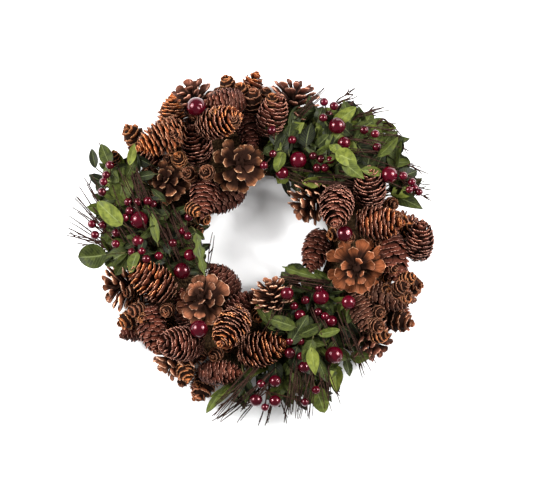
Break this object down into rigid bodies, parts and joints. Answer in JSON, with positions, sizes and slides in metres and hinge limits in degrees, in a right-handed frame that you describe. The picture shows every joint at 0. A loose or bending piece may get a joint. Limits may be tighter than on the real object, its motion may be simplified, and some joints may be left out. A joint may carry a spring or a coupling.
{
  "type": "pinecone wreath",
  "caption": "Round wreath of closed spruce cones and open pine cones on a flat-backed straw ring, with clusters of leaves, glossy red berries and fine twigs.",
  "frame": {"origin": "on the surface that the wreath's flat back lies on, under the middle of the whole wreath's outline", "axes": "+Z out of the wreath's front, towards the viewer; +Y to its top; +X to its right as seen from the front"},
  "size_m": [0.3658, 0.3576, 0.093],
  "materials": {
    "straw": "matte",
    "spruce": "matte",
    "pine": "matte",
    "berry": "gloss",
    "leaf": "satin",
    "twig": "matte"
  },
  "bodies": {
    "root": {"base_ring": "straw", "berry_left": "berry", "berry_right": "berry", "berry_bottom": "berry", "lone_berry_1": "berry", "lone_berry_2": "berry", "lone_berry_3": "berry", "lone_berry_4": "berry", "leaf_left": "leaf", "leaf_right": "leaf", "leaf_bottom": "leaf", "twig_left": "twig", "twig_right": "twig", "twig_bottom": "twig", "pine_cone_01": "pine", "pine_cone_02": "pine", "pine_cone_03": "pine", "pine_cone_04": "pine", "pine_cone_05": "pine", "pine_cone_06": "pine", "pine_cone_07": "pine", "pine_cone_08": "pine", "pine_cone_09": "pine", "pine_cone_10": "pine", "pine_cone_11": "pine", "pine_cone_12": "pine", "spruce_cone_01": "spruce", "spruce_cone_02": "spruce", "spruce_cone_03": "spruce", "spruce_cone_04": "spruce", "spruce_cone_05": "spruce", "spruce_cone_06": "spruce", "spruce_cone_07": "spruce", "spruce_cone_08": "spruce", "spruce_cone_09": "spruce", "spruce_cone_10": "spruce", "spruce_cone_11": "spruce", "spruce_cone_12": "spruce", "spruce_cone_13": "spruce", "spruce_cone_14": "spruce", "spruce_cone_15": "spruce", "spruce_cone_16": "spruce", "spruce_cone_17": "spruce", "spruce_cone_18": "spruce", "spruce_cone_19": "spruce", "spruce_cone_20": "spruce", "spruce_cone_21": "spruce", "spruce_cone_22": "spruce", "spruce_cone_23": "spruce", "spruce_cone_24": "spruce", "spruce_cone_25": "spruce", "spruce_cone_26": "spruce", "spruce_cone_27": "spruce", "spruce_cone_28": "spruce", "spruce_cone_29": "spruce", "spruce_cone_30": "spruce", "spruce_cone_31": "spruce", "spruce_cone_32": "spruce", "spruce_cone_33": "spruce"}
  },
  "joints": []
}
